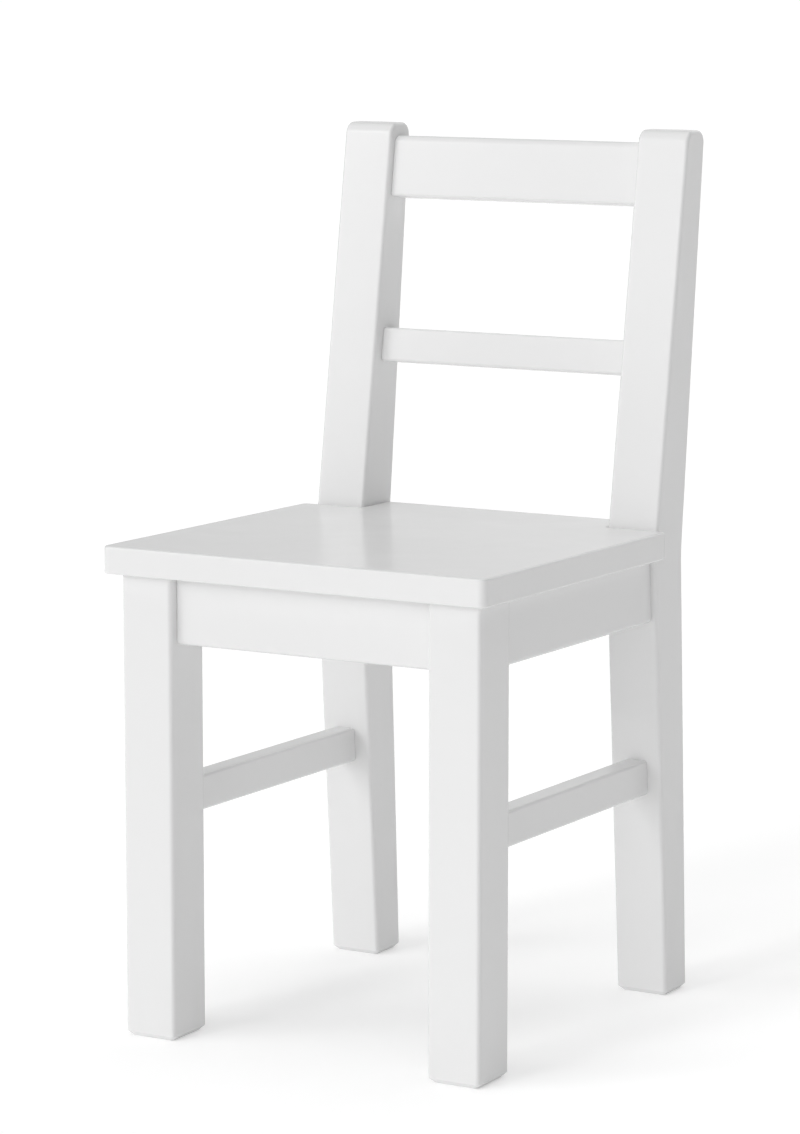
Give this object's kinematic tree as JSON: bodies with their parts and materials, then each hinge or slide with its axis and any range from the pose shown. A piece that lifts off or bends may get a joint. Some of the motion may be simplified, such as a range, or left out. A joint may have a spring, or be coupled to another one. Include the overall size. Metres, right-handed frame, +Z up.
{
  "type": "painted wooden child's chair",
  "caption": "Small straight-backed wooden chair with a flat notched seat, square legs, side stretchers and back rails, in smooth white lacquer.",
  "frame": {"origin": "on the floor, under the middle of the chair's overall width and depth", "axes": "+X to the right as seen from the front, +Y from the seat's front edge to the back posts, +Z up"},
  "size_m": [0.2644, 0.301, 0.55],
  "materials": {
    "lacquer": "smooth semi-gloss white lacquer over wood",
    "beech": "bare turned beech",
    "zinc_screw": "bright zinc-plated steel"
  },
  "bodies": {
    "root": {"seat_panel": "lacquer", "front_leg_left": "lacquer", "front_leg_right": "lacquer", "rear_leg_left": "lacquer", "rear_leg_right": "lacquer", "front_apron": "lacquer", "rear_apron": "lacquer", "side_apron_left": "lacquer", "side_apron_right": "lacquer", "side_stretcher_left": "lacquer", "side_stretcher_right": "lacquer", "top_back_rail": "lacquer", "middle_back_rail": "lacquer", "corner_block_front_left": "lacquer", "corner_block_front_right": "lacquer", "corner_block_rear_left": "lacquer", "corner_block_rear_right": "lacquer", "apron_dowels": "beech", "stretcher_dowels": "beech", "back_rail_dowels": "beech", "block_screws": "zinc_screw", "seat_screws": "zinc_screw"}
  },
  "joints": []
}
